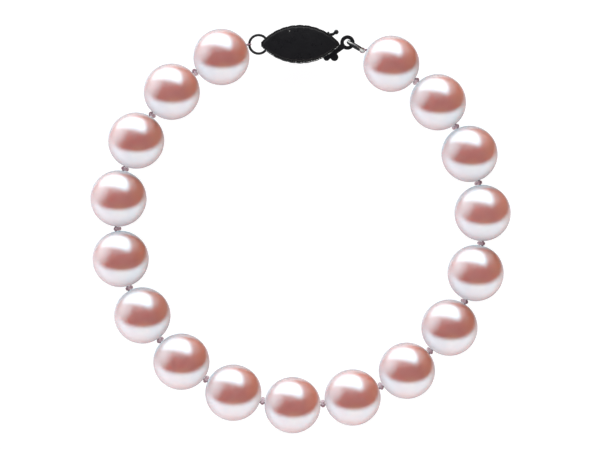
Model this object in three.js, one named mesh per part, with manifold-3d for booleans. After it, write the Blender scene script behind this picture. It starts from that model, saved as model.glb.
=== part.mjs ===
// A pearl bracelet, closed and laid down flat: seventeen drilled pearls on a knotted silk thread, with a marquise
// fish-hook clasp. Millimetres, +Z up, +Y from the middle of the loop towards the clasp.
// The lowest points of the pearls touch z = 0.
import * as THREE from "three";
import { mergeVertices } from "three/addons/utils/BufferGeometryUtils.js";
import Module from "manifold-3d";

const wasm = await Module();
wasm.setup();

const { degToRad } = THREE.MathUtils;

// ---- Driving dimensions ----

// The string of pearls
const PEARL_COUNT = 17;
const PEARL_RADIUS = 4.7;
const PEARL_HOLE_RADIUS = 0.45;
const PEARL_SIDES = 16; // even, so that a flat facet faces straight down
const PEARL_BANDS = 9; // odd, so that the middle band straddles the widest part
const LOOP_RADIUS = 30.55; // circle through the centres of the pearls
const PEARL_PITCH = degToRad(19.04); // from one pearl to the next, about the middle of the loop
const FIRST_PEARL_ANGLE = degToRad(115.4); // from +X, counter-clockwise

// The silk thread
const THREAD_RADIUS = 0.2;
const THREAD_SIDES = 6;
const THREAD_STEPS_A_PEARL = 4;
const THREAD_LOOP_RADIUS = 30.73; // the drilled holes are straight, so the thread bows a little outwards in them
const KNOT_LOOP_RADIUS = 30.5;
const KNOT_SIZE = new THREE.Vector3(0.7, 0.31, 0.66); // half sizes: across the string, along it and upwards
const STRAND_RADIUS = 0.06; // a single strand, where the thread turns round a ring
const STRAND_CLEARANCE = 0.03;

// The clasp, about its own centre
const CLASP_DISTANCE = 29.74; // from the middle of the loop
const CLASP_SAG = 0.2; // its mid-plane hangs this far below the pearls' centres
const EDGE_RADIUS = 8.82; // each long edge of the case is one arc
const EDGE_CENTRE_OFFSET = 5.65; // and its centre lies this far beyond the long axis
const RING_END_TIP = 0.7;
const HOOK_END_TIP = 0.3;
const CASE_HALF_HEIGHT = 1.8;
const CROWN = new THREE.Vector3(10, 8, 3); // half sizes of the ellipsoid that crowns each cover
const WALL = 0.45;
const CAVITY_RING_END_TIP = 1.9; // blunt, so that the end that holds the ring is solid
const MOUTH_START = 3.4;
const MOUTH_HEIGHT = 1.0;
const STOP_BEAD_RADIUS = 0.2;
const STOP_BEAD_CENTRE = new THREE.Vector3(4.75, 1.88, MOUTH_HEIGHT / 2 + STOP_BEAD_RADIUS);
const POST_RADIUS = 0.42;
const BEND_CENTRE = new THREE.Vector2(1.4, 0); // the catch post, and the bend of the hook round it

// The ring soldered to the case
const END_RING_RADIUS = 1.54;
const END_RING_WIRE_RADIUS = 0.215;
const END_RING_CENTRE = new THREE.Vector3(-6.9, -0.01, 0);

// The hook, a flat stamping
const HOOK_THICKNESS = 0.7;
const EYE_CENTRE = new THREE.Vector2(7.95, 0.285);
const EYE_RADIUS = 1.18;
const EYE_HOLE_RADIUS = 0.62;
const SHANK_WIDTH = 1.0;
const SHANK_END = new THREE.Vector2(4.9, -1.9);
const THUMB_LOBES = [
  { x: 4.48, y: -2.21, radius: 0.53 },
  { x: 5.78, y: -2.15, radius: 0.63 },
];
const BEND_OUTER_RADIUS = 1.45;
const BEND_INNER_RADIUS = 0.8;
const LOWER_ARM_FOOT = [new THREE.Vector2(-0.8, -0.05), new THREE.Vector2(0.1, 0.6)]; // from the shank's end
const NECK_START = new THREE.Vector2(5.5, 1.66);
const NECK_WIDTH = 0.44;
const TIP_CENTRE = new THREE.Vector2(6.08, 2.04);
const TIP_RADIUS = 0.38;

// The jump ring between the hook and the last pearl
const JUMP_RING_RADIUS = 1.34;
const JUMP_RING_WIRE_RADIUS = 0.33;
const JUMP_RING_CENTRE = new THREE.Vector3(9.3, -0.34, 0);
const JUMP_RING_HEADING = degToRad(-30.5); // the ring stands on edge, and runs this way from the eye
const JUMP_RING_LEAN = degToRad(-1);

const pearlMaterial = new THREE.MeshStandardMaterial({ color: 0xdccdd2, roughness: 0.2, metalness: 0 });
const silkMaterial = new THREE.MeshStandardMaterial({ color: 0x8a7080, roughness: 0.8, metalness: 0 });
const metalMaterial = new THREE.MeshStandardMaterial({ color: 0x202022, roughness: 0.25, metalness: 1 });

// ---- Geometry, solids and meshes ----

// A three.js geometry as a manifold solid. Shared corners are merged, and triangles that the merge collapses dropped.
function solid(geometry) {
  const loose = geometry.index ? geometry.toNonIndexed() : geometry;
  const bare = new THREE.BufferGeometry().setAttribute("position", loose.getAttribute("position"));
  const merged = mergeVertices(bare, 1e-4);
  const corners = merged.index.array;
  const kept = [];
  for (let i = 0; i < corners.length; i += 3) {
    const [a, b, c] = corners.slice(i, i + 3);
    if (a !== b && b !== c && c !== a) kept.push(a, b, c);
  }
  const mesh = new wasm.Mesh({
    numProp: 3,
    vertProperties: merged.attributes.position.array,
    triVerts: new Uint32Array(kept),
  });
  return new wasm.Manifold(mesh);
}

function geometryOf(made) {
  const mesh = made.getMesh();
  const geometry = new THREE.BufferGeometry();
  geometry.setAttribute("position", new THREE.BufferAttribute(mesh.vertProperties, 3));
  geometry.setIndex(new THREE.BufferAttribute(mesh.triVerts, 1));
  return geometry;
}

function namedMesh(name, geometry, material) {
  const mesh = new THREE.Mesh(geometry, material);
  mesh.name = name;
  return mesh;
}

// A flat plate of the given outline, half above and half below z = 0.
function plate(shape, thickness, curveSegments = 6) {
  const made = new THREE.ExtrudeGeometry(shape, { depth: thickness, bevelEnabled: false, curveSegments });
  return made.translate(0, 0, -thickness / 2);
}

function disc(x, y, radius) {
  return new THREE.Shape().absarc(x, y, radius, 0, 2 * Math.PI, false);
}

// A strip with round ends from one point to the other.
function strip(from, to, width) {
  const heading = Math.atan2(to.y - from.y, to.x - from.x);
  const quarter = Math.PI / 2;
  const shape = new THREE.Shape();
  shape.absarc(to.x, to.y, width / 2, heading - quarter, heading + quarter, false);
  shape.absarc(from.x, from.y, width / 2, heading + quarter, heading + 3 * quarter, false);
  return shape;
}

// A round wire ring in the XY plane.
function wireRing(radius, wireRadius, wireSides = 8, steps = 28) {
  return new THREE.TorusGeometry(radius, wireRadius, wireSides, steps);
}

// A point at the given angle and distance from the middle of the loop.
function onLoop(angle, distance, height) {
  return new THREE.Vector3(distance * Math.cos(angle), distance * Math.sin(angle), height);
}

function pearlAngle(index) {
  return FIRST_PEARL_ANGLE + index * PEARL_PITCH;
}

// ---- Pearls ----

// One drilled pearl, turned about Y, the way the string runs. Its flat facets touch the true sphere at mid-height.
function pearlGeometry() {
  const start = Math.asin(PEARL_HOLE_RADIUS / PEARL_RADIUS);
  const band = (Math.PI - 2 * start) / PEARL_BANDS;
  const swell = 1 / (Math.cos(band / 2) * Math.cos(Math.PI / PEARL_SIDES));
  const profile = [];
  for (let i = 0; i <= PEARL_BANDS; i++) {
    const polar = Math.PI - start - i * band;
    const atHole = i === 0 || i === PEARL_BANDS;
    const radius = atHole ? PEARL_HOLE_RADIUS : swell * PEARL_RADIUS * Math.sin(polar);
    profile.push(new THREE.Vector2(radius, PEARL_RADIUS * Math.cos(polar)));
  }
  profile.push(profile[0].clone());
  return new THREE.LatheGeometry(profile, PEARL_SIDES, -Math.PI / PEARL_SIDES);
}

function makePearls() {
  const pearls = new THREE.Group();
  const geometry = pearlGeometry();
  for (let i = 0; i < PEARL_COUNT; i++) {
    const number = String(i + 1).padStart(2, "0");
    const pearl = namedMesh("pearl_" + number, geometry, pearlMaterial);
    pearl.position.copy(onLoop(pearlAngle(i), LOOP_RADIUS, PEARL_RADIUS));
    pearl.rotation.z = pearlAngle(i);
    pearls.add(pearl);
  }
  return pearls;
}

// ---- Clasp ----

const CLASP_CENTRE = new THREE.Vector3(0, CLASP_DISTANCE, PEARL_RADIUS - CLASP_SAG);

// The almond outline of the case, inset all round, with a rounding at each end.
function marquise(inset, ringEndTip, hookEndTip) {
  const edge = EDGE_RADIUS - inset;
  const tipCentre = (rounding) => Math.sqrt((edge - rounding) ** 2 - EDGE_CENTRE_OFFSET ** 2);
  const hookX = tipCentre(hookEndTip);
  const ringX = tipCentre(ringEndTip);
  const hookTurn = Math.atan2(EDGE_CENTRE_OFFSET, hookX);
  const ringTurn = Math.atan2(EDGE_CENTRE_OFFSET, ringX);
  const shape = new THREE.Shape();
  shape.absarc(0, -EDGE_CENTRE_OFFSET, edge, hookTurn, Math.PI - ringTurn, false);
  shape.absarc(-ringX, 0, ringEndTip, Math.PI - ringTurn, Math.PI + ringTurn, false);
  shape.absarc(0, EDGE_CENTRE_OFFSET, edge, Math.PI + ringTurn, 2 * Math.PI - hookTurn, false);
  shape.absarc(hookX, 0, hookEndTip, -hookTurn, hookTurn, false);
  return shape;
}

// The almond between two gently crowned covers, inset all round: with no inset it is the case's outside.
function crownedMarquise(inset, ringEndTip, hookEndTip) {
  const prism = solid(plate(marquise(inset, ringEndTip, hookEndTip), 3 * CASE_HALF_HEIGHT));
  const crown = new THREE.SphereGeometry(1, 20, 18).rotateX(Math.PI / 2).scale(CROWN.x, CROWN.y, CROWN.z);
  const drop = CROWN.z - (CASE_HALF_HEIGHT - inset);
  const upper = solid(crown.clone().translate(0, 0, -drop));
  const lower = solid(crown.clone().translate(0, 0, drop));
  return prism.intersect(upper).intersect(lower);
}

// The hollow case, open round its hook end, with the catch post inside and the ring soldered into its other end.
function caseGeometry() {
  const outside = crownedMarquise(0, RING_END_TIP, HOOK_END_TIP);
  const hollow = crownedMarquise(WALL, CAVITY_RING_END_TIP, HOOK_END_TIP);
  const mouthLength = 2 * EDGE_RADIUS;
  const mouthBox = new THREE.BoxGeometry(mouthLength, mouthLength, MOUTH_HEIGHT);
  const mouth = solid(mouthBox.translate(MOUTH_START + mouthLength / 2, 0, 0));
  const postHeight = 2 * CASE_HALF_HEIGHT - WALL;
  const post = new THREE.CylinderGeometry(POST_RADIUS, POST_RADIUS, postHeight, 12).rotateX(Math.PI / 2);
  const ring = wireRing(END_RING_RADIUS, END_RING_WIRE_RADIUS);
  const bead = new THREE.SphereGeometry(STOP_BEAD_RADIUS, 8, 6);
  return geometryOf(
    outside
      .subtract(hollow)
      .subtract(mouth)
      .add(solid(post.translate(BEND_CENTRE.x, BEND_CENTRE.y, 0)))
      .add(solid(ring.translate(...END_RING_CENTRE.toArray())))
      .add(solid(bead.translate(...STOP_BEAD_CENTRE.toArray()))),
  );
}

// The hook's bend: a flat half ring, open towards the mouth.
function bendShape() {
  const { x, y } = BEND_CENTRE;
  const shape = new THREE.Shape();
  shape.absarc(x, y, BEND_OUTER_RADIUS, Math.PI / 2, 1.5 * Math.PI, false);
  shape.absarc(x, y, BEND_INNER_RADIUS, 1.5 * Math.PI, Math.PI / 2, true);
  return shape;
}

// The arm from the bend to the shank and the thumb lobes.
function lowerArmShape() {
  return new THREE.Shape([
    new THREE.Vector2(BEND_CENTRE.x, -BEND_INNER_RADIUS),
    new THREE.Vector2(BEND_CENTRE.x, -BEND_OUTER_RADIUS),
    ...LOWER_ARM_FOOT.map((corner) => corner.clone().add(SHANK_END)),
  ]);
}

// The arm that narrows from the bend to the neck of the hook's tip.
function upperArmShape() {
  const halfNeck = NECK_WIDTH / 2;
  return new THREE.Shape([
    new THREE.Vector2(BEND_CENTRE.x, BEND_OUTER_RADIUS),
    new THREE.Vector2(BEND_CENTRE.x, BEND_INNER_RADIUS),
    new THREE.Vector2(NECK_START.x + halfNeck / 2, NECK_START.y - halfNeck),
    new THREE.Vector2(NECK_START.x - halfNeck / 2, NECK_START.y + halfNeck),
  ]);
}

function hookGeometry() {
  const outlines = [
    disc(EYE_CENTRE.x, EYE_CENTRE.y, EYE_RADIUS),
    strip(EYE_CENTRE, SHANK_END, SHANK_WIDTH),
    ...THUMB_LOBES.map((lobe) => disc(lobe.x, lobe.y, lobe.radius)),
    lowerArmShape(),
    bendShape(),
    upperArmShape(),
    strip(NECK_START, TIP_CENTRE, NECK_WIDTH),
  ];
  const plates = outlines.map((outline) => solid(plate(outline, HOOK_THICKNESS)));
  const tip = new THREE.SphereGeometry(TIP_RADIUS, 12, 8).translate(TIP_CENTRE.x, TIP_CENTRE.y, 0);
  const hole = plate(disc(EYE_CENTRE.x, EYE_CENTRE.y, EYE_HOLE_RADIUS), 2 * HOOK_THICKNESS);
  const joined = plates.reduce((hook, piece) => hook.add(piece)).add(solid(tip));
  return geometryOf(joined.subtract(solid(hole)));
}

function makeClasp() {
  const clasp = new THREE.Group();
  clasp.position.copy(CLASP_CENTRE);
  clasp.add(namedMesh("clasp_case", caseGeometry(), metalMaterial));
  clasp.add(namedMesh("clasp_hook", hookGeometry(), metalMaterial));

  const ringGeometry = wireRing(JUMP_RING_RADIUS, JUMP_RING_WIRE_RADIUS);
  const jumpRing = namedMesh("jump_ring", ringGeometry, metalMaterial);
  jumpRing.rotation.x = Math.PI / 2 + JUMP_RING_LEAN;
  const heading = new THREE.Group();
  heading.position.copy(JUMP_RING_CENTRE);
  heading.rotation.z = JUMP_RING_HEADING;
  heading.add(jumpRing);
  clasp.add(heading);
  return clasp;
}

// ---- Silk thread ----

// The far side of each ring, where the thread is tied: the centre of the ring's wire.
function endRingTie() {
  const tie = END_RING_CENTRE.clone().add(CLASP_CENTRE);
  tie.x -= END_RING_RADIUS;
  return tie;
}

function jumpRingTie() {
  const outwards = new THREE.Vector3(Math.cos(JUMP_RING_HEADING), Math.sin(JUMP_RING_HEADING), 0);
  return JUMP_RING_CENTRE.clone().add(CLASP_CENTRE).addScaledVector(outwards, JUMP_RING_RADIUS);
}

// The mouth of a pearl's hole, on the side that the given direction along the loop (1 or -1) leads to.
function holeMouth(index, direction) {
  const angle = pearlAngle(index);
  const along = new THREE.Vector3(-Math.sin(angle), Math.cos(angle), 0);
  const height = PEARL_RADIUS - CLASP_SAG / 2;
  return onLoop(angle, LOOP_RADIUS, height).addScaledVector(along, direction * PEARL_RADIUS);
}

// A point just short of a ring's wire, on the line from the hole's mouth to it.
function justBefore(tie, mouth, wireRadius) {
  const towardsMouth = mouth.clone().sub(tie).normalize();
  return tie.clone().addScaledVector(towardsMouth, wireRadius + 1.5 * STRAND_CLEARANCE);
}

function threadPath() {
  const last = PEARL_COUNT - 1;
  const firstMouth = holeMouth(0, -1);
  const lastMouth = holeMouth(last, 1);
  const points = [justBefore(endRingTie(), firstMouth, END_RING_WIRE_RADIUS), firstMouth];
  for (let i = 0; i <= last * THREAD_STEPS_A_PEARL; i++) {
    points.push(onLoop(pearlAngle(i / THREAD_STEPS_A_PEARL), THREAD_LOOP_RADIUS, PEARL_RADIUS));
  }
  points.push(lastMouth, justBefore(jumpRingTie(), lastMouth, JUMP_RING_WIRE_RADIUS));
  return new THREE.CatmullRomCurve3(points, false, "centripetal");
}

function threadTube() {
  const section = new THREE.Shape().absarc(0, 0, THREAD_RADIUS, 0, 2 * Math.PI, false);
  return new THREE.ExtrudeGeometry(section, {
    extrudePath: threadPath(),
    steps: PEARL_COUNT * THREAD_STEPS_A_PEARL,
    curveSegments: THREAD_SIDES / 2,
    bevelEnabled: false,
  });
}

// The knot after the pearl of the given index.
function knot(index) {
  const angle = pearlAngle(index + 0.5);
  const centre = onLoop(angle, KNOT_LOOP_RADIUS, PEARL_RADIUS);
  const made = new THREE.SphereGeometry(1, 8, 5);
  made.scale(KNOT_SIZE.x, KNOT_SIZE.y, KNOT_SIZE.z);
  return made.rotateZ(angle).translate(...centre.toArray());
}

// One strand round a ring's wire, in the XY plane.
function tieStrand(wireRadius) {
  return wireRing(wireRadius + STRAND_CLEARANCE + STRAND_RADIUS, STRAND_RADIUS, 6, 16);
}

function makeThread() {
  const atEndRing = tieStrand(END_RING_WIRE_RADIUS).rotateX(Math.PI / 2);
  const atJumpRing = tieStrand(JUMP_RING_WIRE_RADIUS);
  let thread = solid(threadTube())
    .add(solid(atEndRing.translate(...endRingTie().toArray())))
    .add(solid(atJumpRing.translate(...jumpRingTie().toArray())));
  for (let i = 0; i < PEARL_COUNT - 1; i++) thread = thread.add(solid(knot(i)));
  return namedMesh("silk_thread", geometryOf(thread), silkMaterial);
}

// ---- Bracelet ----

const bracelet = new THREE.Group();
bracelet.add(makePearls(), makeThread(), makeClasp());

// The origin is under the middle of the whole bracelet, on the surface that it lies on.
const box = new THREE.Box3().setFromObject(bracelet, true);
const middle = box.getCenter(new THREE.Vector3());
bracelet.position.set(-middle.x, -middle.y, -box.min.z);

const part = new THREE.Group();
part.add(bracelet);

export default part;
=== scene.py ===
# Pearl bracelet: seventeen drilled pearls on a knotted silk thread, closed by a black marquise fish-hook
# clasp, lying on a pale table. Metres, +Z up, +Y towards the clasp.
import math

import bmesh
import bpy
from mathutils import Matrix, Vector


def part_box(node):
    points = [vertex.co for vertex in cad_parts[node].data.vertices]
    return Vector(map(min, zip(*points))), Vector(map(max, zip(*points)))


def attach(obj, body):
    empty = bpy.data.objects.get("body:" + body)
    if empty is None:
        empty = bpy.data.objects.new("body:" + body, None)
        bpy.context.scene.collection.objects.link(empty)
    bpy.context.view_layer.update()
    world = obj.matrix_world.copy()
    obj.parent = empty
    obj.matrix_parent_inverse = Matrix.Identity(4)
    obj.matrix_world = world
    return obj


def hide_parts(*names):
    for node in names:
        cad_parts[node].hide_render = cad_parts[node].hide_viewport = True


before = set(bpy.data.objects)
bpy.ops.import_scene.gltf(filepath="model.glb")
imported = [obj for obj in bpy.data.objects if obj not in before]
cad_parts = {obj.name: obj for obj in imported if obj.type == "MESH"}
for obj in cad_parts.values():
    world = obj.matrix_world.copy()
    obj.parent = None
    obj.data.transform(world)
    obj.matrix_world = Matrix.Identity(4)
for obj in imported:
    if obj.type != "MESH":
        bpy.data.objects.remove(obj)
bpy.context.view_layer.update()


# The camera. It hangs straight over the loop on a long lens, a little nearer the clasp than the middle, with
# the clasp at the top of the picture, so that every pearl shows as a round disc.
mm = 0.001
view_width = 100.2 * mm
view_lens = 200
view_target = Vector((-0.07 * mm, 0.72 * mm, 4.7 * mm))

camera_data = bpy.data.cameras.new("overhead_camera")
camera_data.lens = view_lens
camera_distance = view_width * view_lens / camera_data.sensor_width
camera = bpy.data.objects.new("overhead_camera", camera_data)
bpy.context.scene.collection.objects.link(camera)
camera.location = view_target + Vector((0, 0, camera_distance))
bpy.context.scene.camera = camera


# The pearls. Round cultured pearls of one size, nacre over a bead, each drilled through its middle and its
# drill hole's edges broken. They are threaded in a ring, a knot apart, and lie on the table.
pearl_radius = 4.7 * mm
drill_radius = 0.45 * mm
drill_edge_break = 0.07 * mm
pearl_meridians = 64
pearl_parallels = 44
pearl_names = ["pearl_%02d" % number for number in range(1, 18)]


def middle_of(node):
    low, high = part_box(node)
    return (low + high) / 2


# The middle of the circle through three places on it, at their height.
def circle_middle(a, b, c):
    ab, ac = b - a, c - a
    square_ab, square_ac = ab.length_squared, ac.length_squared
    turn = 2 * (ab.x * ac.y - ab.y * ac.x)
    across = Vector((ac.y * square_ab - ab.y * square_ac, ab.x * square_ac - ac.x * square_ab, 0))
    return a + across / turn


loop_middle = circle_middle(*[middle_of(pearl_names[i]) for i in (0, 8, 16)])


# The way the string runs at a place on the loop, counter-clockwise from above.
def string_way(place):
    outwards = (place - loop_middle).normalized()
    return Vector((-outwards.y, outwards.x, 0))


# Makes a bmesh into a smooth piece of the bracelet that rides on the frame and takes its CAD node's place.
# Only the studio shows in the gloss of a piece, so that a pearl's lustre isn't broken up by its neighbours.
def finish_piece(bm, name, node, slot, *materials):
    mesh = bpy.data.meshes.new(name)
    for face in bm.faces:
        face.smooth = True
    bm.to_mesh(mesh)
    bm.free()
    piece = bpy.data.objects.new(name, mesh)
    bpy.context.scene.collection.objects.link(piece)
    for material in materials:
        mesh.materials.append(material)
    piece.visible_glossy = False
    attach(piece, "root")
    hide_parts(node)
    return piece


def drilled_pearl(name):
    bm = bmesh.new()
    bmesh.ops.create_uvsphere(bm, u_segments=pearl_meridians, v_segments=pearl_parallels, radius=pearl_radius)
    drill_depth = math.sqrt(pearl_radius**2 - drill_radius**2)
    for side in (1, -1):
        everything = bm.verts[:] + bm.edges[:] + bm.faces[:]
        bmesh.ops.bisect_plane(
            bm, geom=everything, plane_co=(0, 0, side * drill_depth), plane_no=(0, 0, side), clear_outer=True
        )
    rims = [edge for edge in bm.edges if edge.is_boundary]
    bmesh.ops.bridge_loops(bm, edges=rims)
    bmesh.ops.bevel(
        bm, geom=rims, offset=drill_edge_break, segments=3, profile=0.5, affect="EDGES", material=-1
    )
    bmesh.ops.recalc_face_normals(bm, faces=bm.faces[:])
    place = middle_of(name)
    lie = string_way(place).to_track_quat("Z", "Y").to_matrix().to_4x4()
    bmesh.ops.transform(bm, matrix=Matrix.Translation(place) @ lie, verts=bm.verts[:])
    return bm


# Starts a material with one Principled shader, and returns the material and its shader.
def start_finish(name):
    material = bpy.data.materials.new(name)
    material.use_nodes = True
    return material, material.node_tree.nodes["Principled BSDF"]


def add_node(material, kind, **values):
    node = material.node_tree.nodes.new(kind)
    for name, value in values.items():
        if name in node.inputs:
            node.inputs[name].default_value = value
        else:
            setattr(node, name, value)
    return node


# Nacre: a rose body under a bright skin whose reflection is the complement, cool and bluish, so that white
# light off it turns lavender. Faint clouds shift the body colour, and very fine ripples soften the mirror.
def nacre():
    material, shader = start_finish("nacre")
    link = material.node_tree.links.new
    places = add_node(material, "ShaderNodeTexCoord")
    clouds = add_node(material, "ShaderNodeTexNoise", Scale=160.0, Detail=3.0)
    link(places.outputs["Object"], clouds.inputs["Vector"])
    body = add_node(material, "ShaderNodeValToRGB")
    body.color_ramp.elements[0].position = 0.3
    body.color_ramp.elements[0].color = (0.82, 0.32, 0.235, 1)
    body.color_ramp.elements[1].position = 0.7
    body.color_ramp.elements[1].color = (0.87, 0.36, 0.275, 1)
    link(clouds.outputs["Fac"], body.inputs["Fac"])
    link(body.outputs["Color"], shader.inputs["Base Color"])
    ripples = add_node(material, "ShaderNodeTexNoise", Scale=2600.0, Detail=2.0)
    link(places.outputs["Object"], ripples.inputs["Vector"])
    bump = add_node(material, "ShaderNodeBump", Strength=0.06, Distance=0.00002)
    link(ripples.outputs["Fac"], bump.inputs["Height"])
    link(bump.outputs["Normal"], shader.inputs["Normal"])
    shader.inputs["Roughness"].default_value = 0.12
    shader.inputs["Subsurface Weight"].default_value = 1.0
    shader.inputs["Subsurface Radius"].default_value = (1, 1, 1)
    shader.inputs["Subsurface Scale"].default_value = 4.0 * mm
    shader.inputs["IOR"].default_value = 4.1
    shader.inputs["Specular Tint"].default_value = (0.41, 0.83, 0.96, 1)
    shader.inputs["Coat Weight"].default_value = 1.0
    shader.inputs["Coat IOR"].default_value = 1.7
    shader.inputs["Coat Roughness"].default_value = 0.15
    shader.inputs["Sheen Weight"].default_value = 1.0
    shader.inputs["Sheen Roughness"].default_value = 0.3
    shader.inputs["Sheen Tint"].default_value = (0.76, 0.68, 0.74, 1)
    return material


pearl_nacre = nacre()
for pearl_name in pearl_names:
    finish_piece(drilled_pearl(pearl_name), "nacre_" + pearl_name, pearl_name, "pearl", pearl_nacre)


# The silk thread. Mauve bead silk of three plies, passed through every pearl and knotted in each gap, so that
# no pearl rubs its neighbour. Past the end pearls it reaches the clasp's two rings, and two fine strands go
# round the wire of each ring.
thread_loop_radius = 30.73 * mm
knot_loop_radius = 30.5 * mm
ply_radius = 0.1 * mm
ply_lay_radius = 0.1 * mm
ply_turn = 1.1 * mm
ply_step = 0.11 * mm
knot_ring_radius = 0.31 * mm
knot_wave_across = 0.08 * mm
knot_wave_along = 0.035 * mm
knot_ply_radius = 0.19 * mm
knot_lay_radius = 0.13 * mm
knot_ply_turns = 7
knot_lean_step = 1.1
tie_clearance = 0.03 * mm
string_end_clearance = 0.09 * mm
tie_strand_radius = 0.06 * mm

case_low, case_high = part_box("clasp_case")
clasp_middle = Vector((loop_middle.x, (case_low.y + case_high.y) / 2, (case_low.z + case_high.z) / 2))
end_ring_middle = clasp_middle + Vector((-6.9, -0.01, 0)) * mm
end_ring_radius = 1.54 * mm
end_ring_wire = 0.215 * mm
jump_ring_middle = middle_of("jump_ring")
jump_ring_radius = 1.34 * mm
jump_ring_wire = 0.33 * mm
jump_ring_heading = math.radians(-30.5)
jump_ring_lean = math.radians(-1)
jump_ring_way = Vector((math.cos(jump_ring_heading), math.sin(jump_ring_heading), 0))
end_ring_tie = end_ring_middle - Vector((end_ring_radius, 0, 0))
jump_ring_tie = jump_ring_middle + jump_ring_way * jump_ring_radius


def on_loop(angle, radius):
    return loop_middle + Vector((math.cos(angle), math.sin(angle), 0)) * radius


def angle_of(place):
    out = place - loop_middle
    return math.atan2(out.y, out.x)


# Splits a route into even steps.
def evenly(route, step):
    spaced, spare = [route[0]], 0.0
    for start, end in zip(route, route[1:]):
        length = (end - start).length
        along = step - spare
        while along <= length:
            spaced.append(start.lerp(end, along / length))
            along += step
        spare = (spare + length) % step
    return spaced


# Lays one ply of a twisted cord round a route. The sides say which way is across the cord at each point.
def lay_ply(curve, route, sides, lay_radius, turns, ply_angle, closed=False):
    spline = curve.splines.new("POLY")
    spline.points.add(len(route) - 1)
    spline.use_cyclic_u = closed
    last = len(route) if closed else len(route) - 1
    for i, (point, side) in enumerate(zip(route, sides)):
        before = route[i - 1] if i or closed else point
        after = route[(i + 1) % len(route)] if i < len(route) - 1 or closed else point
        way = (after - before).normalized()
        across = (side - way * side.dot(way)).normalized()
        over = way.cross(across)
        turn = ply_angle + 2 * math.pi * turns * i / last
        place = point + (across * math.cos(turn) + over * math.sin(turn)) * lay_radius
        spline.points[i].co = (*place, 1)


def new_cord(name, radius):
    curve = bpy.data.curves.new(name, "CURVE")
    curve.dimensions = "3D"
    curve.bevel_depth = radius
    curve.bevel_resolution = 1
    curve.use_fill_caps = True
    return curve


def string_route():
    first, last = middle_of(pearl_names[0]), middle_of(pearl_names[-1])
    start_angle = angle_of(first)
    sweep = (angle_of(last) - start_angle) % (2 * math.pi)
    drop = Vector((0, 0, (clasp_middle.z - loop_middle.z) / 2))
    first_mouth = first - string_way(first) * pearl_radius + drop
    last_mouth = last + string_way(last) * pearl_radius + drop
    from_end_ring = (first_mouth - end_ring_tie).normalized()
    at_end_ring = end_ring_tie + from_end_ring * (end_ring_wire + string_end_clearance)
    from_jump_ring = (last_mouth - jump_ring_tie).normalized()
    at_jump_ring = jump_ring_tie + from_jump_ring * (jump_ring_wire + string_end_clearance)
    steps = 320
    bow = [on_loop(start_angle + sweep * i / steps, thread_loop_radius) for i in range(steps + 1)]
    return [at_end_ring, first_mouth, *bow, last_mouth, at_jump_ring]


def lay_string(curve):
    route = evenly(string_route(), ply_step)
    sides = [(point - loop_middle).normalized() for point in route]
    turns = len(route) * ply_step / ply_turn
    for ply in range(3):
        lay_ply(curve, route, sides, ply_lay_radius, turns, ply * 2 * math.pi / 3)


# An overhand knot pulled tight: two plies that follow a trefoil round the string. The lean turns one knot
# against the next.
def lay_knot(curve, angle, lean):
    middle = on_loop(angle, knot_loop_radius)
    way = string_way(middle)
    outwards = (middle - loop_middle).normalized()
    up = Vector((0, 0, 1))
    steps = 96
    route, sides = [], []
    for i in range(steps):
        share = 2 * math.pi * i / steps
        round_string = outwards * math.cos(2 * share + lean) + up * math.sin(2 * share + lean)
        bulge = math.cos(3 * share)
        across = round_string * (knot_ring_radius + knot_wave_across * bulge)
        route.append(middle + across + way * knot_wave_along * math.sin(3 * share))
        sides.append(round_string * bulge + way * math.sin(3 * share))
    for ply in range(2):
        lay_ply(curve, route, sides, knot_lay_radius, knot_ply_turns, ply * math.pi, closed=True)


# One fine strand round a ring's wire, square to the wire.
def lay_tie(curve, middle, wire_radius, wire_way):
    radius = wire_radius + tie_clearance + tie_strand_radius
    level = wire_way.orthogonal().normalized()
    other = wire_way.cross(level)
    steps = 32
    for shift in (-1, 1):
        route = []
        for i in range(steps):
            turn = 2 * math.pi * i / steps
            route.append(
                middle
                + (level * math.cos(turn) + other * math.sin(turn)) * radius
                + wire_way * shift * tie_strand_radius
            )
        lay_ply(curve, route, [wire_way] * steps, 0, 0, 0, closed=True)


def curve_as_bmesh(*curves):
    bm = bmesh.new()
    for curve in curves:
        cord = bpy.data.objects.new(curve.name, curve)
        bpy.context.scene.collection.objects.link(cord)
        bpy.context.view_layer.update()
        made = bpy.data.meshes.new_from_object(cord.evaluated_get(bpy.context.evaluated_depsgraph_get()))
        bm.from_mesh(made)
        bpy.data.objects.remove(cord)
        bpy.data.meshes.remove(made)
    return bm


# Silk: a soft sheen, fine fibres and a mauve body. The mauve is painted pale as a highlight on the crown of
# each knot and towards the inside of the loop, and painted dark as shade on the outside and in the hollows.
# Heights at which the painted highlight on the silk begins and is full, and how much the outside of the loop
# is painted darker as shade.
painted_highlight_from = 0.3 * mm
painted_highlight_full = 0.52 * mm
painted_shade_outward_share = 0.45


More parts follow.
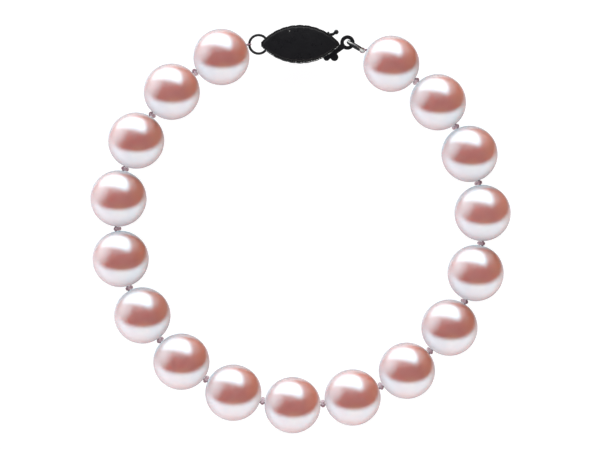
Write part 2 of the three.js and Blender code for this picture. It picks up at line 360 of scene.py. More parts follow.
def silk():
    material, shader = start_finish("mauve_silk")
    link = material.node_tree.links.new
    places = add_node(material, "ShaderNodeTexCoord")
    from_middle = add_node(material, "ShaderNodeMapping")
    from_middle.inputs["Location"].default_value = -loop_middle
    link(places.outputs["Object"], from_middle.inputs["Vector"])
    distance = add_node(material, "ShaderNodeVectorMath", operation="LENGTH")
    link(from_middle.outputs["Vector"], distance.inputs[0])
    place_parts = add_node(material, "ShaderNodeSeparateXYZ")
    link(from_middle.outputs["Vector"], place_parts.inputs["Vector"])
    outside = add_node(material, "ShaderNodeMath", operation="SUBTRACT")
    outside.inputs[1].default_value = knot_loop_radius
    link(distance.outputs["Value"], outside.inputs[0])
    crown = add_node(material, "ShaderNodeMath", operation="MULTIPLY_ADD")
    crown.inputs[1].default_value = -painted_shade_outward_share
    link(outside.outputs["Value"], crown.inputs[0])
    link(place_parts.outputs["Z"], crown.inputs[2])
    painted_highlight_share = add_node(material, "ShaderNodeMapRange")
    painted_highlight_share.inputs["From Min"].default_value = painted_highlight_from
    painted_highlight_share.inputs["From Max"].default_value = painted_highlight_full
    link(crown.outputs["Value"], painted_highlight_share.inputs["Value"])
    # Painted shade and painted highlight: dark mauve low down and on the outside of the loop, pale mauve high
    # up and on the inside.
    painted_shade_to_highlight = add_node(material, "ShaderNodeValToRGB")
    painted_shade_to_highlight.color_ramp.elements[0].color = (0.31, 0.145, 0.20, 1)
    painted_shade_to_highlight.color_ramp.elements[1].color = (0.93, 0.80, 0.88, 1)
    link(painted_highlight_share.outputs["Result"], painted_shade_to_highlight.inputs["Fac"])
    fibres = add_node(material, "ShaderNodeTexNoise", Scale=9000.0, Detail=3.0)
    link(places.outputs["Object"], fibres.inputs["Vector"])
    strands = add_node(material, "ShaderNodeMix", data_type="RGBA", blend_type="MULTIPLY")
    strands.inputs["Factor"].default_value = 0.25
    link(painted_shade_to_highlight.outputs["Color"], strands.inputs[6])
    link(fibres.outputs["Color"], strands.inputs[7])
    link(strands.outputs[2], shader.inputs["Base Color"])
    bump = add_node(material, "ShaderNodeBump", Strength=0.4, Distance=0.00002)
    link(fibres.outputs["Fac"], bump.inputs["Height"])
    link(bump.outputs["Normal"], shader.inputs["Normal"])
    shader.inputs["Roughness"].default_value = 0.55
    shader.inputs["Sheen Weight"].default_value = 0.5
    return material


string_cord = new_cord("string_plies", ply_radius)
lay_string(string_cord)
knot_cord = new_cord("knot_plies", knot_ply_radius)
for i in range(len(pearl_names) - 1):
    before, after = middle_of(pearl_names[i]), middle_of(pearl_names[i + 1])
    lay_knot(knot_cord, angle_of((before + after) / 2), i * knot_lean_step)
tie_cord = new_cord("tie_strands", tie_strand_radius)
lay_tie(tie_cord, end_ring_tie, end_ring_wire, Vector((0, 1, 0)))
lay_tie(tie_cord, jump_ring_tie, jump_ring_wire, Vector((0, 0, 1)))
thread = curve_as_bmesh(string_cord, knot_cord, tie_cord)
finish_piece(thread, "knotted_silk_thread", "silk_thread", "silk", silk())


# The clasp case. Two crowned, almond-shaped covers of black-plated silver, scalloped and milgrained along the
# edge. A band joins them, open at the hook's end, and a catch post stands between them. A wire ring is
# soldered into the other end, and one bead of solder on the edge of the mouth stops the hook.
edge_radius = 8.82 * mm
edge_middle_offset = 5.65 * mm
scallop_angle = math.radians(9.13)
scallop_depth = 0.09 * mm
scallop_fullness = 0.7
tip_rounding = 0.031
tip_rounding_change = 0.014
outline_steps = 288
crown_length = 10 * mm
crown_width = 8 * mm
crown_height = 3 * mm
cover_height = 1.8 * mm
mouth_start = 3.4 * mm
band_inset = 0.24 * mm
band_wall = 0.24 * mm
band_half_height = 0.56 * mm
milgrain_angle = math.radians(2.93)
milgrain_inset = 0.17 * mm
milgrain_radius = 0.15 * mm
milgrain_drop = 0.135 * mm
post_place = Vector((1.4, 0, 0)) * mm
post_radius = 0.42 * mm
post_length = 2 * cover_height - 0.5 * mm
stop_bead_place = Vector((4.75, 1.88, 0.7)) * mm
stop_bead_radius = 0.2 * mm
# A tiny silver bead set into the cover is a painted glint on the black plating.
glint_spot_place = Vector((-1.7, 2.1, 0)) * mm
glint_spot_radius = 0.12 * mm
glint_spot_drop = 0.072 * mm
# The near edge of the rim is painted with a silver highlight in patches, fading in between these distances
# from the middle.
near_highlight_from = 0.1 * mm
near_highlight_full = 0.6 * mm
highlight_patch_black_below = 0.45
highlight_patch_bright_above = 0.58
# The third slot is a painted glint, and the fourth is the rim bevel with its painted highlight on the near
# edge.
plating_slot, oxide_slot, glint_slot, highlight_rim_slot = range(4)

# How the sheet of a cover runs, from the middle of its ceiling out to the lip and back over the crown: the
# inset from the outline and the height in millimetres, above the mid-plane or below the crown's own surface.
cover_ceiling = [{"inset": inset, "below_crown": 0.45} for inset in (2.9, 2.4, 1.8, 1.2, 0.8, 0.5)]
cover_lip = [
    {"inset": 0.45, "below_crown": 0.62},
    {"inset": 0.45, "above_middle": 0.54},
    {"inset": 0.41, "above_middle": 0.50},
    {"inset": 0.18, "above_middle": 0.50},
    {"inset": 0.14, "above_middle": 0.54},
    {"inset": 0.14, "below_crown": 0.46},
]
cover_edge = [
    {"inset": 0.04, "below_crown": 0.42},
    {"inset": 0.00, "below_crown": 0.37},
    {"inset": 0.00, "below_crown": 0.19},
    {"inset": 0.03, "below_crown": 0.14},
    {"inset": 0.10, "below_crown": 0.12},
    {"inset": 0.26, "below_crown": 0.12},
    {"inset": 0.31, "below_crown": 0.08},
    {"inset": 0.35, "below_crown": 0.02},
]
# These rows of the rim bevel take the painted highlight on their near side.
highlight_rim_edge = cover_edge[3:5]
oxidised_edge = cover_edge[5:]
cover_crown = [{"inset": inset, "below_crown": 0.0} for inset in (0.42, 0.6, 0.9, 1.3, 1.7, 2.1, 2.5, 2.9)]


# A point of the almond at an angle from the clasp's middle. The two edges are arcs, and the tips are a little
# rounded, more so at the ring's end.
def almond_point(angle, inset, scalloped):
    rounding = tip_rounding - tip_rounding_change * math.cos(angle)
    sine = math.hypot(math.sin(angle), rounding)
    chord = (edge_radius - inset) ** 2 - (edge_middle_offset * math.cos(angle)) ** 2
    reach = math.sqrt(chord) - edge_middle_offset * sine
    point = Vector((math.cos(angle), math.sin(angle), 0)) * reach
    if scalloped:
        edge_angle = math.atan2(point.x, abs(point.y) + edge_middle_offset)
        lobe = abs(math.cos(math.pi * edge_angle / scallop_angle)) ** scallop_fullness
        point *= 1 - scallop_depth * (1 - lobe) / reach
    return point


def crown_at(point):
    fall = (point.x / crown_length) ** 2 + (point.y / crown_width) ** 2
    return cover_height - crown_height * (1 - math.sqrt(1 - fall))


def place_ring(ring, row, scalloped=False):
    for vert in ring:
        point = almond_point(math.atan2(vert.co.y, vert.co.x), row["inset"] * mm, scalloped)
        if "above_middle" in row:
            point.z = row["above_middle"] * mm
        else:
            point.z = crown_at(point) - row["below_crown"] * mm
        vert.co = point


def grow_ring(bm, edges):
    grown = bmesh.ops.extrude_edge_only(bm, edges=edges)["geom"]
    ring = [item for item in grown if isinstance(item, bmesh.types.BMVert)]
    return ring, [item for item in grown if isinstance(item, bmesh.types.BMEdge)]


def start_ring(bm):
    ring = bmesh.ops.create_circle(bm, segments=outline_steps, radius=edge_radius)["verts"]
    return ring, list({edge for vert in ring for edge in vert.link_edges})


# Closes a ring with a fan about a point on the middle line.
def close_ring(bm, edges, height):
    face = bmesh.ops.contextual_create(bm, geom=edges)["faces"]
    middle = bmesh.ops.poke(bm, faces=face)["verts"][0]
    middle.co = (0, 0, height)


def stamp_cover():
    bm = bmesh.new()
    ring, edges = start_ring(bm)
    rows = cover_ceiling + cover_lip + cover_edge + cover_crown
    place_ring(ring, rows[0])
    close_ring(bm, edges, cover_height - rows[0]["below_crown"] * mm)
    for row in rows[1:]:
        ring, edges = grow_ring(bm, edges)
        place_ring(ring, row, scalloped=row in cover_edge)
        slot = oxide_slot if row in oxidised_edge else highlight_rim_slot if row in highlight_rim_edge else plating_slot
        for face in {face for edge in edges for face in edge.link_faces}:
            face.material_index = slot
    close_ring(bm, edges, cover_height)
    bmesh.ops.recalc_face_normals(bm, faces=bm.faces[:])
    return bm


# The milgrain row of one cover: a bead every few degrees along both arcs of the edge.
def add_milgrain(bm):
    half_turn = math.atan2(almond_point(0, 0, False).x, edge_middle_offset)
    beads_each_way = int(half_turn / milgrain_angle)
    for side in (1, -1):
        for i in range(-beads_each_way, beads_each_way + 1):
            turn = i * milgrain_angle
            reach = edge_radius - milgrain_inset
            point = Vector((math.sin(turn), math.cos(turn), 0)) * reach
            point.y = side * (point.y - edge_middle_offset)
            point.z = crown_at(point) - milgrain_drop
            bead = bmesh.ops.create_icosphere(
                bm, subdivisions=2, radius=milgrain_radius, matrix=Matrix.Translation(point)
            )
            for face in {face for vert in bead["verts"] for face in vert.link_faces}:
                face.material_index = oxide_slot


# Puts a copy of one bmesh into another.
def add_copy(bm, other, matrix):
    mesh = bpy.data.meshes.new("copy")
    other.to_mesh(mesh)
    before = set(bm.verts)
    bm.from_mesh(mesh)
    bpy.data.meshes.remove(mesh)
    added = [vert for vert in bm.verts if vert not in before]
    bmesh.ops.transform(bm, matrix=matrix, verts=added)


# The band between the covers. It ends at the mouth.
def bend_band():
    bm = bmesh.new()
    ring, edges = start_ring(bm)
    first_edges = edges
    corners = [(0, -1), (0, 1), (1, 1), (1, -1)]
    for number, (inner, up) in enumerate(corners):
        if number:
            ring, edges = grow_ring(bm, edges)
        inset = (band_inset + inner * band_wall) / mm
        place_ring(ring, {"inset": inset, "above_middle": up * band_half_height / mm})
    bmesh.ops.bridge_loops(bm, edges=first_edges + edges)
    everything = bm.verts[:] + bm.edges[:] + bm.faces[:]
    bmesh.ops.bisect_plane(
        bm, geom=everything, plane_co=(mouth_start, 0, 0), plane_no=(1, 0, 0), clear_outer=True
    )
    bmesh.ops.holes_fill(bm, edges=[edge for edge in bm.edges if edge.is_boundary], sides=0)
    bmesh.ops.recalc_face_normals(bm, faces=bm.faces[:])
    return bm


# A closed ring of round wire about the Z axis.
def wire_ring(radius, wire_radius, steps=96, wire_sides=20):
    bm = bmesh.new()
    upright = Matrix.Translation((radius, 0, 0)) @ Matrix.Rotation(math.pi / 2, 4, "X")
    section = bmesh.ops.create_circle(bm, segments=wire_sides, radius=wire_radius, matrix=upright)["verts"]
    bmesh.ops.spin(
        bm,
        geom=section + bm.edges[:],
        cent=(0, 0, 0),
        axis=(0, 0, 1),
        dvec=(0, 0, 0),
        angle=2 * math.pi,
        steps=steps,
        use_merge=True,
        use_duplicate=False,
    )
    bmesh.ops.recalc_face_normals(bm, faces=bm.faces[:])
    return bm


def make_case():
    case = bmesh.new()
    cover = stamp_cover()
    add_milgrain(cover)
    add_copy(case, cover, Matrix.Identity(4))
    add_copy(case, cover, Matrix.Rotation(math.pi, 4, "X"))
    add_copy(case, bend_band(), Matrix.Identity(4))
    end_ring_place = end_ring_middle - clasp_middle
    add_copy(case, wire_ring(end_ring_radius, end_ring_wire), Matrix.Translation(end_ring_place))
    bmesh.ops.create_cone(
        case,
        cap_ends=True,
        segments=32,
        radius1=post_radius,
        radius2=post_radius,
        depth=post_length,
        matrix=Matrix.Translation(post_place),
    )
    stop_place = Matrix.Translation(stop_bead_place)
    bmesh.ops.create_icosphere(case, subdivisions=3, radius=stop_bead_radius, matrix=stop_place)
    # The tiny bead of the painted glint, set into the crown.
    glint_place = Vector(glint_spot_place)
    glint_place.z = crown_at(glint_place) - glint_spot_drop
    glint_bead = bmesh.ops.create_icosphere(
        case, subdivisions=3, radius=glint_spot_radius, matrix=Matrix.Translation(glint_place)
    )
    for face in {face for vert in glint_bead["verts"] for face in vert.link_faces}:
        face.material_index = glint_slot
    bmesh.ops.transform(case, matrix=Matrix.Translation(clasp_middle), verts=case.verts[:])
    return case


# Black plating over silver: near black and softly glossy, with a faint haze and fine wiping marks that run
# along the clasp.
def black_plate():
    material, shader = start_finish("black_plate")
    link = material.node_tree.links.new
    places = add_node(material, "ShaderNodeTexCoord")
    haze = add_node(material, "ShaderNodeTexNoise", Scale=900.0, Detail=4.0)
    link(places.outputs["Object"], haze.inputs["Vector"])
    tone = add_node(material, "ShaderNodeValToRGB")
    tone.color_ramp.elements[0].position = 0.3
    tone.color_ramp.elements[0].color = (0.021, 0.0205, 0.0215, 1)
    tone.color_ramp.elements[1].position = 0.75
    tone.color_ramp.elements[1].color = (0.026, 0.0255, 0.0265, 1)
    link(haze.outputs["Fac"], tone.inputs["Fac"])
    link(tone.outputs["Color"], shader.inputs["Base Color"])
    gloss = add_node(material, "ShaderNodeMapRange")
    gloss.inputs["To Min"].default_value = 0.22
    gloss.inputs["To Max"].default_value = 0.36
    link(haze.outputs["Fac"], gloss.inputs["Value"])
    link(gloss.outputs["Result"], shader.inputs["Roughness"])
    along = add_node(material, "ShaderNodeMapping")
    along.inputs["Scale"].default_value = (0.06, 1.0, 1.0)
    link(places.outputs["Object"], along.inputs["Vector"])
    wiping = add_node(material, "ShaderNodeTexNoise", Scale=30000.0, Detail=2.0)
    link(along.outputs["Vector"], wiping.inputs["Vector"])
    bump = add_node(material, "ShaderNodeBump", Strength=0.05, Distance=0.00001)
    link(wiping.outputs["Fac"], bump.inputs["Height"])
    link(bump.outputs["Normal"], shader.inputs["Normal"])
    shader.inputs["Metallic"].default_value = 0.3
    shader.inputs["Specular IOR Level"].default_value = 0.25
    return material


# Silver at one small spot on the black cover, a painted glint.
def painted_glint_silver():
    material, shader = start_finish("painted_glint_silver")
    shader.inputs["Base Color"].default_value = (0.30, 0.30, 0.29, 1)
    shader.inputs["Metallic"].default_value = 1.0
    shader.inputs["Roughness"].default_value = 0.3
    return material


# Matt oxide, left where polishing doesn't reach, on and round the milgrain.
def matt_oxide():
    material, shader = start_finish("matt_oxide")
    link = material.node_tree.links.new
    places = add_node(material, "ShaderNodeTexCoord")
    haze = add_node(material, "ShaderNodeTexNoise", Scale=2500.0, Detail=3.0)
    link(places.outputs["Object"], haze.inputs["Vector"])
    tone = add_node(material, "ShaderNodeValToRGB")
    tone.color_ramp.elements[0].color = (0.008, 0.008, 0.0085, 1)
    tone.color_ramp.elements[1].color = (0.02, 0.0195, 0.0205, 1)
    link(haze.outputs["Fac"], tone.inputs["Fac"])
    link(tone.outputs["Color"], shader.inputs["Base Color"])
    shader.inputs["Roughness"].default_value = 0.6
    shader.inputs["Specular IOR Level"].default_value = 0.08
    return material


# The rim's bevel: black, with a painted highlight of silver patches along the near edge, where that edge
# catches the bright sheet.
def painted_highlight_rim():
    material, shader = start_finish("painted_highlight_rim")
    link = material.node_tree.links.new
    places = add_node(material, "ShaderNodeTexCoord")
    place_parts = add_node(material, "ShaderNodeSeparateXYZ")
    link(places.outputs["Object"], place_parts.inputs["Vector"])
    near_edge = add_node(material, "ShaderNodeMapRange")
    near_edge.inputs["From Min"].default_value = clasp_middle.y - near_highlight_from
    near_edge.inputs["From Max"].default_value = clasp_middle.y - near_highlight_full
    link(place_parts.outputs["Y"], near_edge.inputs["Value"])
    patches = add_node(material, "ShaderNodeTexNoise", Scale=900.0, Detail=2.0)
    link(places.outputs["Object"], patches.inputs["Vector"])
    highlight_patches = add_node(material, "ShaderNodeMapRange")
    highlight_patches.inputs["From Min"].default_value = highlight_patch_black_below
    highlight_patches.inputs["From Max"].default_value = highlight_patch_bright_above
    link(patches.outputs["Fac"], highlight_patches.inputs["Value"])
    highlight_share = add_node(material, "ShaderNodeMath", operation="MULTIPLY")
    link(near_edge.outputs["Result"], highlight_share.inputs[0])
    link(highlight_patches.outputs["Result"], highlight_share.inputs[1])
    tone = add_node(material, "ShaderNodeValToRGB")
    # Black where there is no painted highlight, silver where there is.
    tone.color_ramp.elements[0].color = (0.018, 0.0175, 0.0185, 1)
    tone.color_ramp.elements[1].color = (0.42, 0.42, 0.41, 1)
    link(highlight_share.outputs["Value"], tone.inputs["Fac"])
    link(tone.outputs["Color"], shader.inputs["Base Color"])
    shader.inputs["Metallic"].default_value = 0.8
    shader.inputs["Roughness"].default_value = 0.4
    shader.inputs["Specular IOR Level"].default_value = 0.1
    return material


plated_black = black_plate()
case_finishes = [plated_black, matt_oxide(), painted_glint_silver(), painted_highlight_rim()]  # in the order of the slots
finish_piece(make_case(), "marquise_case", "clasp_case", "clasp_metal", *case_finishes)


# The clasp's hook. A flat black-plated stamping: an eye for the jump ring, a straight shank, two round lobes
# to press with the thumb, and the hook, which bends round the catch post and leaves the mouth in a ball end.
hook_thickness = 0.7 * mm
hook_join_voxel = 0.045 * mm
hook_smoothing = 5
tumbling_loss = 0.03 * mm
eye_place = Vector((7.95, 0.285, 0)) * mm
eye_radius = 1.18 * mm
eye_hole_radius = 0.62 * mm
shank_end = Vector((4.9, -1.9, 0)) * mm
shank_width = 1.0 * mm
shank_start = 0.9 * mm
thumb_lobes = [
    {"x": 4.48, "y": -2.21, "radius": 0.53},
    {"x": 5.78, "y": -2.15, "radius": 0.63},
]
bend_outer_radius = 1.45 * mm
bend_inner_radius = 0.8 * mm
lower_arm_foot = [Vector((-0.8, -0.05, 0)) * mm, Vector((0.1, 0.6, 0)) * mm]
neck_start = Vector((5.5, 1.66, 0)) * mm
neck_width = 0.46 * mm
tip_place = Vector((6.08, 2.04, 0)) * mm
tip_radius = 0.41 * mm
round_sides = 64


# Stands a flat face up into a plate, half above and half below the mid-plane.
def stand_plate(bm, face):
    raised = bmesh.ops.extrude_face_region(bm, geom=[face])["geom"]
    top = [item for item in raised if isinstance(item, bmesh.types.BMVert)]
    bmesh.ops.translate(bm, vec=(0, 0, hook_thickness / 2), verts=top)
    bottom = {vert for vert in face.verts} - set(top)
    bmesh.ops.translate(bm, vec=(0, 0, -hook_thickness / 2), verts=list(bottom))


def stamp_disc(bm, place, radius):
    at_place = Matrix.Translation(place)
    made = bmesh.ops.create_circle(
        bm, cap_ends=True, segments=round_sides, radius=radius + tumbling_loss, matrix=at_place
    )
    stand_plate(bm, made["verts"][0].link_faces[0])


def stamp_bar(bm, *corners):
    verts = [bm.verts.new(corner) for corner in corners]
    stand_plate(bm, bm.faces.new(verts))


def stamp_strip(bm, start, end, width):
    along = (end - start).normalized()
    half = Vector((-along.y, along.x, 0)) * width / 2
    stamp_bar(bm, start + half, start - half, end - half, end + half)
    stamp_disc(bm, end, width / 2)


# A flat ring, or part of one, of the hook's thickness.
def stamp_ring(bm, place, inner, outer, start_angle, sweep):
    before = set(bm.verts)
    start = Matrix.Translation(place) @ Matrix.Rotation(start_angle, 4, "Z")
    inner, outer = inner - tumbling_loss, outer + tumbling_loss
    corners = [(inner, -1), (outer, -1), (outer, 1), (inner, 1)]
    verts = [bm.verts.new(start @ Vector((x, 0, side * hook_thickness / 2))) for x, side in corners]
    face = bm.faces.new(verts)
    whole = sweep >= 2 * math.pi
    bmesh.ops.spin(
        bm,
        geom=verts + list(face.edges) + ([] if whole else [face]),
        cent=place,
        axis=(0, 0, 1),
        dvec=(0, 0, 0),
        angle=sweep,
        steps=round_sides,
        use_merge=whole,
        use_duplicate=False,
    )
    if whole:
        bmesh.ops.delete(bm, geom=[face], context="FACES_ONLY")


def stamp_hook():
    bm = bmesh.new()
    stamp_ring(bm, eye_place, eye_hole_radius, eye_radius, 0, 2 * math.pi)
    towards_shank = (shank_end - eye_place).normalized()
    stamp_strip(bm, eye_place + towards_shank * shank_start, shank_end, shank_width)
    for lobe in thumb_lobes:
        stamp_disc(bm, Vector((lobe["x"], lobe["y"], 0)) * mm, lobe["radius"] * mm)
    stamp_bar(
        bm,
        post_place + Vector((0, -bend_inner_radius, 0)),
        post_place + Vector((0, -bend_outer_radius, 0)),
        *[shank_end + corner for corner in lower_arm_foot],
    )
    stamp_ring(bm, post_place, bend_inner_radius, bend_outer_radius, math.pi / 2, math.pi)
    half_neck = neck_width / 2
    stamp_bar(
        bm,
        post_place + Vector((0, bend_outer_radius, 0)),
        post_place + Vector((0, bend_inner_radius, 0)),
        neck_start + Vector((half_neck / 2, -half_neck, 0)),
        neck_start + Vector((-half_neck / 2, half_neck, 0)),
    )
    stamp_strip(bm, neck_start, tip_place, neck_width)
    bmesh.ops.create_icosphere(bm, subdivisions=4, radius=tip_radius, matrix=Matrix.Translation(tip_place))
    bmesh.ops.recalc_face_normals(bm, faces=bm.faces[:])
    return bm


# Joins the stampings into one skin with softly tumbled edges.
def joined(bm):
    mesh = bpy.data.meshes.new("stampings")
    bm.to_mesh(mesh)
    bm.free()
    stampings = bpy.data.objects.new("stampings", mesh)
    bpy.context.scene.collection.objects.link(stampings)
    join = stampings.modifiers.new("join", "REMESH")
    join.mode = "VOXEL"
    join.voxel_size = hook_join_voxel
    bpy.context.view_layer.update()
    skin = bpy.data.meshes.new_from_object(stampings.evaluated_get(bpy.context.evaluated_depsgraph_get()))
    bpy.data.objects.remove(stampings)
    made = bmesh.new()
    made.from_mesh(skin)
    for _ in range(hook_smoothing):
        bmesh.ops.smooth_vert(
            made, verts=made.verts[:], factor=0.5, use_axis_x=True, use_axis_y=True, use_axis_z=True
        )
    bmesh.ops.transform(made, matrix=Matrix.Translation(clasp_middle), verts=made.verts[:])
    return made


finish_piece(joined(stamp_hook()), "fish_hook", "clasp_hook", "clasp_metal", plated_black)


# The jump ring. Stout round black-plated wire, closed and soldered. It stands on edge through the hook's eye,
# almost upright, with the silk tied round its far side. Silver is painted along its outside crest and on its
# far end as a painted highlight.
crest_reach = jump_ring_radius + jump_ring_wire
# Where the painted highlight on the crest and on the far end begins and is full.
crest_highlight_from = crest_reach - 0.018 * mm
crest_highlight_full = crest_reach - 0.006 * mm
crest_raggedness = 0.006 * mm
end_highlight_from = 0.86 * mm
end_highlight_full = 1.02 * mm


def bend_jump_ring():
    bm = wire_ring(jump_ring_radius, jump_ring_wire)
    stand = Matrix.Rotation(math.pi / 2 + jump_ring_lean, 4, "X")
    heading = Matrix.Rotation(jump_ring_heading, 4, "Z")
    through_eye = Matrix.Translation(jump_ring_middle) @ heading @ stand
    bmesh.ops.transform(bm, matrix=through_eye, verts=bm.verts[:])
    return bm


# Black plating with a painted highlight of satin silver on the crest of the wire, furthest from the ring's
# middle, and all round the wire at the silk's end.
def plate_with_painted_highlights():
    material, shader = start_finish("plate_with_painted_highlights")
    link = material.node_tree.links.new
    places = add_node(material, "ShaderNodeTexCoord")
    reach = add_node(material, "ShaderNodeVectorMath", operation="DISTANCE")
    reach.inputs[1].default_value = jump_ring_middle
    link(places.outputs["Object"], reach.inputs[0])
    haze = add_node(material, "ShaderNodeTexNoise", Scale=2500.0, Detail=3.0)
    link(places.outputs["Object"], haze.inputs["Vector"])
    ragged = add_node(material, "ShaderNodeMapRange")
    ragged.inputs["To Min"].default_value = -crest_raggedness
    ragged.inputs["To Max"].default_value = crest_raggedness
    link(haze.outputs["Fac"], ragged.inputs["Value"])
    edge = add_node(material, "ShaderNodeMath", operation="ADD")
    link(reach.outputs["Value"], edge.inputs[0])
    link(ragged.outputs["Result"], edge.inputs[1])
    highlight_share = add_node(material, "ShaderNodeMapRange")
    highlight_share.inputs["From Min"].default_value = crest_highlight_from
    highlight_share.inputs["From Max"].default_value = crest_highlight_full
    link(edge.outputs["Value"], highlight_share.inputs["Value"])
    along = add_node(material, "ShaderNodeVectorMath", operation="DOT_PRODUCT")
    along.inputs[1].default_value = jump_ring_way
    link(places.outputs["Object"], along.inputs[0])
    middle_along = jump_ring_middle.dot(jump_ring_way)
    end_highlight_share = add_node(material, "ShaderNodeMapRange")
    end_highlight_share.inputs["From Min"].default_value = middle_along + end_highlight_from
    end_highlight_share.inputs["From Max"].default_value = middle_along + end_highlight_full
    link(along.outputs["Value"], end_highlight_share.inputs["Value"])
    all_highlight_share = add_node(material, "ShaderNodeMath", operation="MAXIMUM")
    link(highlight_share.outputs["Result"], all_highlight_share.inputs[0])
    link(end_highlight_share.outputs["Result"], all_highlight_share.inputs[1])
    # Black where there is no painted highlight, silver where there is.
    tone = add_node(material, "ShaderNodeValToRGB")
    tone.color_ramp.elements[0].color = (0.022, 0.022, 0.023, 1)
    tone.color_ramp.elements[1].color = (0.54, 0.535, 0.52, 1)
    link(all_highlight_share.outputs["Value"], tone.inputs["Fac"])
    link(tone.outputs["Color"], shader.inputs["Base Color"])
    satin = add_node(material, "ShaderNodeMapRange")
    satin.inputs["To Min"].default_value = 0.25
    satin.inputs["To Max"].default_value = 0.45
    link(all_highlight_share.outputs["Value"], satin.inputs["Value"])
    link(satin.outputs["Result"], shader.inputs["Roughness"])
    shader.inputs["Metallic"].default_value = 1.0
    shader.inputs["Specular Tint"].default_value = (0.4, 0.4, 0.4, 1)
    return material


finish_piece(bend_jump_ring(), "clasp_jump_ring", "jump_ring", "ring_metal", plate_with_painted_highlights())


# The table. A wide, matt, pale board that the bracelet lies on. It glows by itself, which makes it nearly
# white, and it doesn't show in the bracelet's gloss or light it from below.
table_width = 3.0
table_glow = 0.88


def pale_board():
    material, shader = start_finish("pale_board")
    shader.inputs["Base Color"].default_value = (0.30, 0.30, 0.305, 1)
    shader.inputs["Roughness"].default_value = 0.9
    shader.inputs["Specular IOR Level"].default_value = 0.0
    shader.inputs["Emission Color"].default_value = (1, 1, 1, 1)
    shader.inputs["Emission Strength"].default_value = table_glow
    return material


board = bmesh.new()
bmesh.ops.create_grid(board, x_segments=1, y_segments=1, size=table_width / 2)
board_mesh = bpy.data.meshes.new("table")
board.to_mesh(board_mesh)
board.free()
table = bpy.data.objects.new("table", board_mesh)
bpy.context.scene.collection.objects.link(table)
board_mesh.materials.append(pale_board())
table.visible_glossy = False
table.visible_diffuse = False


# The studio. Its light is painted on the world: a bright pale sheet on the near side, a big soft window high
# on the far left, and three dimmer glows beside and below the window. The rest is dark, so that the plating
# is black. Less light comes from below, and least from straight below.
sheet = {"away": Vector((0.03, 0.86, 0.51)), "edge": -0.31, "softness": 0.22}
sheet_depth = {"softness": 0.5, "near": 1.85, "deep": 1.7}
window_strength = 3.1
window_sides = [
    {"facing": Vector((-0.49, 0.69, 0.53)), "from": 0.38, "softness": 0.27},
    {"facing": Vector((0.23, 0.87, -0.44)), "from": 0.27, "softness": 0.34},
    {"facing": Vector((0.70, 0.57, 0.43)), "from": -0.70, "softness": 0.10},
]
glows = [
    {"at": Vector((-0.82, 0.55, -0.15)), "from": 0.72, "softness": 0.40, "strength": 1.55},
    {"at": Vector((-0.05, 0.99, 0.15)), "from": 0.68, "softness": 0.42, "strength": 0.95},
    {"at": Vector((-0.41, 0.80, -0.45)), "from": 0.84, "softness": 0.30, "strength": 1.2},
]
dark_strength = 0.03
backdrop_colour = (0.95, 0.95, 0.96, 1)
underside = {"from": 0.55, "softness": 0.6, "share": 0.19}
straight_below = {"from": 0.88, "softness": 0.1, "share": 0.6}

# Coloured glows: blue from above, warm from the right and from the near side, and cool from below.
blue, amber, gold = (0.35, 0.5, 1.0, 1), (1.0, 0.4, 0.1, 1), (1.0, 0.45, 0.0, 1)
ice, cyan, teal = (0.5, 0.85, 1.0, 1), (0.1, 0.85, 1.0, 1), (0.35, 0.85, 0.95, 1)
tints = [
    {"colour": blue, "at": Vector((0, -0.1, 1)), "from": 0.3, "softness": 0.9, "strength": 0.09},
    {"colour": amber, "at": Vector((0.92, 0.2, -0.34)), "from": 0.6, "softness": 0.4, "strength": 0.16},
    {"colour": ice, "at": Vector((-0.65, -0.38, -0.66)), "from": 0.8, "softness": 0.2, "strength": 0.4},
    {"colour": cyan, "at": Vector((0.55, -0.5, -0.67)), "from": 0.8, "softness": 0.2, "strength": 0.2},
    {"colour": teal, "at": Vector((-0.2, 0.5, -0.84)), "from": 0.87, "softness": 0.06, "strength": 0.75},
    {"colour": gold, "at": Vector((0.15, -0.8, 0.58)), "from": 0.88, "softness": 0.12, "strength": 0.24},
]

studio = bpy.data.worlds.new("studio")
bpy.context.scene.world = studio
studio.use_nodes = True
studio_nodes = studio.node_tree.nodes
studio_link = studio.node_tree.links.new
studio_nodes.clear()
sky_way = studio_nodes.new("ShaderNodeTexCoord").outputs["Generated"]


def towards(direction):
    node = studio_nodes.new("ShaderNodeVectorMath")
    node.operation = "DOT_PRODUCT"
    studio_link(sky_way, node.inputs[0])
    node.inputs[1].default_value = direction
    return node.outputs["Value"]


# Goes softly from one value to another as a reading passes a threshold.
def fade(reading, threshold, softness, low=0.0, high=1.0):
    node = studio_nodes.new("ShaderNodeMapRange")
    node.interpolation_type = "SMOOTHSTEP"
    studio_link(reading, node.inputs["Value"])
    node.inputs["From Min"].default_value = threshold - softness
    node.inputs["From Max"].default_value = threshold + softness
    node.inputs["To Min"].default_value = low
    node.inputs["To Max"].default_value = high
    return node.outputs["Result"]


def combine(operation, first, second):
    node = studio_nodes.new("ShaderNodeMath")
    node.operation = operation
    for value, socket in zip((first, second), node.inputs):
        if isinstance(value, float):
            socket.default_value = value
        else:
            studio_link(value, socket)
    return node.outputs["Value"]


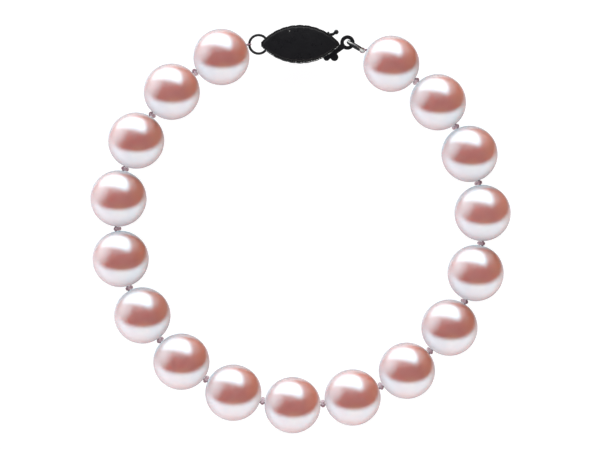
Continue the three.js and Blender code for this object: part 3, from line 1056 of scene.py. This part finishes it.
room_light = None
for side in window_sides:
    share = fade(towards(side["facing"]), side["from"], side["softness"])
    room_light = combine("MULTIPLY", room_light, share) if room_light else share
room_light = combine("MULTIPLY", room_light, window_strength)
for glow in glows:
    glow_light = fade(towards(glow["at"]), glow["from"], glow["softness"], 0.0, glow["strength"])
    room_light = combine("MAXIMUM", room_light, glow_light)
room_light = combine("ADD", room_light, dark_strength)

above_sheet = towards(sheet["away"])
sheet_share = fade(above_sheet, sheet["edge"], sheet["softness"], 1.0, 0.0)
sheet_falloff = sheet_depth["softness"]
sheet_middle = sheet["edge"] - sheet_falloff
sheet_light = fade(above_sheet, sheet_middle, sheet_falloff, sheet_depth["deep"], sheet_depth["near"])
room_light = combine("MULTIPLY", room_light, combine("SUBTRACT", 1.0, sheet_share))
light = combine("ADD", room_light, combine("MULTIPLY", sheet_share, sheet_light))
straight_down = towards(Vector((0, 0, -1)))
for shade in (underside, straight_below):
    kept_share = fade(straight_down, shade["from"], shade["softness"], 1.0, shade["share"])
    light = combine("MULTIPLY", light, kept_share)


def shine(colour, strength):
    node = studio_nodes.new("ShaderNodeBackground")
    node.inputs["Color"].default_value = colour
    if isinstance(strength, float):
        node.inputs["Strength"].default_value = strength
    else:
        studio_link(strength, node.inputs["Strength"])
    return node.outputs["Background"]


def add_light(first, second):
    node = studio_nodes.new("ShaderNodeAddShader")
    studio_link(first, node.inputs[0])
    studio_link(second, node.inputs[1])
    return node.outputs["Shader"]


lit_room = shine((1, 1, 1, 1), light)
for tint in tints:
    facing_tint = towards(tint["at"].normalized())
    tint_light = fade(facing_tint, tint["from"], tint["softness"], 0.0, tint["strength"])
    lit_room = add_light(lit_room, shine(tint["colour"], tint_light))

seen = studio_nodes.new("ShaderNodeLightPath").outputs["Is Camera Ray"]
either = studio_nodes.new("ShaderNodeMixShader")
studio_link(seen, either.inputs["Fac"])
studio_link(lit_room, either.inputs[1])
studio_link(shine(backdrop_colour, 1.0), either.inputs[2])
world_output = studio_nodes.new("ShaderNodeOutputWorld")
studio_link(either.outputs["Shader"], world_output.inputs["Surface"])
studio.cycles.sampling_method = "NONE"

bpy.context.scene.view_settings.view_transform = "Standard"
